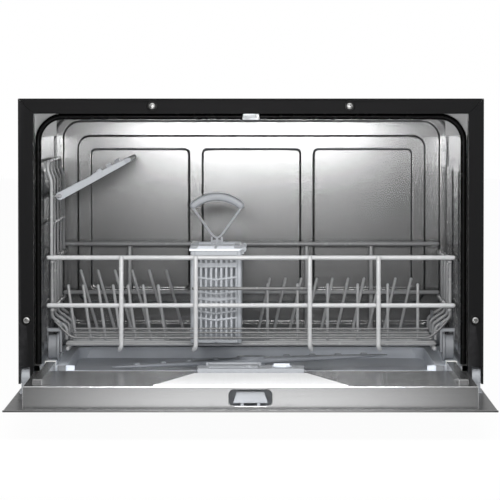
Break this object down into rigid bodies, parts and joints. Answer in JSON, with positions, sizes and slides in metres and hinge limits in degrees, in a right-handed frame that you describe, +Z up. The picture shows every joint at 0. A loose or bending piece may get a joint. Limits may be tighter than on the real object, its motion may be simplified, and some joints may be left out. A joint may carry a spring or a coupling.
{
  "type": "countertop dishwasher",
  "caption": "Compact dishwasher with a drop-down door, steel tub in a black front frame, wheeled wire basket, cutlery basket, cup shelf and spray arm.",
  "frame": {"origin": "centre of the bottom of the whole box, on the surface under the feet, with the door open", "axes": "+X to the right seen from the front, +Y from the open door towards the rear panel, +Z up"},
  "size_m": [0.595, 0.845, 0.41],
  "materials": {
    "black_trim": "matt black coating on folded steel",
    "stainless": "brushed stainless sheet",
    "galvanised": "galvanised steel",
    "spring_steel": "bright spring and mesh steel",
    "seal_rubber": "glossy black rubber",
    "basin_plastic": "blue-grey moulded plastic",
    "pale_plastic": "pale grey moulded plastic",
    "wire_coating": "grey coating on steel wire",
    "dark_plastic": "dark grey moulded plastic",
    "white_plastic": "off-white moulded plastic",
    "gloss_panel": "glossy black panel"
  },
  "bodies": {
    "cabinet": {"trim_top": "black_trim", "trim_left": "black_trim", "trim_right": "black_trim", "frame_screws": "galvanised", "side_panel_left": "galvanised", "side_panel_right": "galvanised", "top_panel": "galvanised", "rear_panel": "galvanised", "base_pan": "black_trim", "feet": "dark_plastic", "tub_wrapper": "stainless", "tub_rear_wall": "stainless", "tub_base": "basin_plastic", "door_seal": "seal_rubber", "door_striker": "galvanised", "rail_ends": "white_plastic", "sump": "dark_plastic", "fine_filter": "spring_steel", "wash_pump": "dark_plastic", "drain_pump": "dark_plastic", "inlet_valve": "white_plastic", "inlet_chamber": "white_plastic", "control_module": "white_plastic", "power_inlet": "dark_plastic", "hinge_brackets": "galvanised", "door_springs": "spring_steel", "softener": "pale_plastic"},
    "door": {"door_skin": "stainless", "door_liner": "stainless", "hinge_arms": "white_plastic", "latch_case": "dark_plastic", "dispenser_body": "pale_plastic", "fascia": "gloss_panel", "grip_cup": "dark_plastic"},
    "catch": {"latch_catch": "white_plastic"},
    "detergent_lid": {"detergent_lid": "white_plastic"},
    "rinse_cap": {"rinse_cap": "pale_plastic"},
    "power_button": {"power_button": "spring_steel"},
    "program_button": {"program_button": "spring_steel"},
    "start_button": {"start_button": "spring_steel"},
    "basket": {"basket_front": "wire_coating", "basket_rear": "wire_coating", "basket_sides": "wire_coating", "basket_floor": "wire_coating", "tines_left": "wire_coating", "tines_right": "wire_coating", "wheel_forks": "pale_plastic", "side_rack": "wire_coating"},
    "wheel_front_left": {"wheel_front_left": "pale_plastic"},
    "wheel_front_right": {"wheel_front_right": "pale_plastic"},
    "wheel_rear_left": {"wheel_rear_left": "pale_plastic"},
    "wheel_rear_right": {"wheel_rear_right": "pale_plastic"},
    "cup_shelf": {"cup_shelf": "pale_plastic"},
    "cutlery": {"cutlery_body": "pale_plastic", "cutlery_handle": "pale_plastic"},
    "cutlery_lid_front": {"cutlery_lid_front": "pale_plastic"},
    "cutlery_lid_rear": {"cutlery_lid_rear": "pale_plastic"},
    "filter_cylinder": {"filter_cylinder": "dark_plastic"},
    "salt_cap": {"salt_cap": "pale_plastic"},
    "spray_arm": {"spray_arm": "basin_plastic"}
  },
  "joints": [
    {"name": "door_hinge", "type": "hinge", "parent": "cabinet", "child": "door", "pos_m": [0, -0.0642, 0.0517], "axis": [1, 0, 0], "range_deg": [-90, 0]},
    {"name": "catch_slide", "type": "slide", "parent": "door", "child": "catch", "axis": [0, 1, 0], "range_m": [0, 0.003], "stiffness_N_per_m": 400},
    {"name": "detergent_lid_hinge", "type": "hinge", "parent": "door", "child": "detergent_lid", "pos_m": [-0.022, -0.1142, 0.0732], "axis": [-1, 0, 0], "range_deg": [0, 170]},
    {"name": "rinse_cap_turn", "type": "hinge", "parent": "door", "child": "rinse_cap", "pos_m": [0.039, -0.1422, 0.071], "axis": [0, 0, 1], "range_deg": [0, 90]},
    {"name": "power_press", "type": "slide", "parent": "door", "child": "power_button", "axis": [0, 0, 1], "range_m": [0, 0.0012], "stiffness_N_per_m": 500},
    {"name": "program_press", "type": "slide", "parent": "door", "child": "program_button", "axis": [0, 0, 1], "range_m": [0, 0.0012], "stiffness_N_per_m": 500},
    {"name": "start_press", "type": "slide", "parent": "door", "child": "start_button", "axis": [0, 0, 1], "range_m": [0, 0.0012], "stiffness_N_per_m": 500},
    {"name": "basket_slide", "type": "slide", "parent": "cabinet", "child": "basket", "axis": [0, -1, 0], "range_m": [0, 0.3]},
    {"name": "wheel_front_left_spin", "type": "hinge", "parent": "basket", "child": "wheel_front_left", "pos_m": [-0.2565, -0.0103, 0.0883], "axis": [1, 0, 0], "range_deg": [0, 1080]},
    {"name": "wheel_front_right_spin", "type": "hinge", "parent": "basket", "child": "wheel_front_right", "pos_m": [0.2565, -0.0103, 0.0883], "axis": [1, 0, 0], "range_deg": [0, 1080]},
    {"name": "wheel_rear_left_spin", "type": "hinge", "parent": "basket", "child": "wheel_rear_left", "pos_m": [-0.2565, 0.2819, 0.0883], "axis": [1, 0, 0], "range_deg": [0, 1080]},
    {"name": "wheel_rear_right_spin", "type": "hinge", "parent": "basket", "child": "wheel_rear_right", "pos_m": [0.2565, 0.2819, 0.0883], "axis": [1, 0, 0], "range_deg": [0, 1080]},
    {"name": "cup_shelf_tilt", "type": "hinge", "parent": "basket", "child": "cup_shelf", "pos_m": [-0.2485, 0.1345, 0.283], "axis": [0, -1, 0], "range_deg": [0, 30]},
    {"name": "cutlery_lift", "type": "slide", "parent": "basket", "child": "cutlery", "axis": [0, 0, 1], "range_m": [0, 0.09]},
    {"name": "cutlery_lid_front_hinge", "type": "hinge", "parent": "cutlery", "child": "cutlery_lid_front", "pos_m": [-0.0089, 0.062, 0.2135], "axis": [0, 1, 0], "range_deg": [0, 80]},
    {"name": "cutlery_lid_rear_hinge", "type": "hinge", "parent": "cutlery", "child": "cutlery_lid_rear", "pos_m": [-0.0089, 0.195, 0.2135], "axis": [0, 1, 0], "range_deg": [0, 80]},
    {"name": "filter_turn", "type": "hinge", "parent": "cabinet", "child": "filter_cylinder", "pos_m": [0.078, 0.0725, 0.047], "axis": [0, 0, 1], "range_deg": [0, 90]},
    {"name": "salt_cap_turn", "type": "hinge", "parent": "cabinet", "child": "salt_cap", "pos_m": [-0.112, 0.0625, 0.047], "axis": [0, 0, 1], "range_deg": [0, 90]},
    {"name": "spray_spin", "type": "hinge", "parent": "cabinet", "child": "spray_arm", "pos_m": [0, 0.151, 0.055], "axis": [0, 0, 1], "continuous": true}
  ],
  "couplings": [
    {"joint": "wheel_front_left_spin", "follows": "basket_slide", "rad_per_m": 62.5},
    {"joint": "wheel_front_right_spin", "follows": "basket_slide", "rad_per_m": 62.5},
    {"joint": "wheel_rear_left_spin", "follows": "basket_slide", "rad_per_m": 62.5},
    {"joint": "wheel_rear_right_spin", "follows": "basket_slide", "rad_per_m": 62.5}
  ]
}
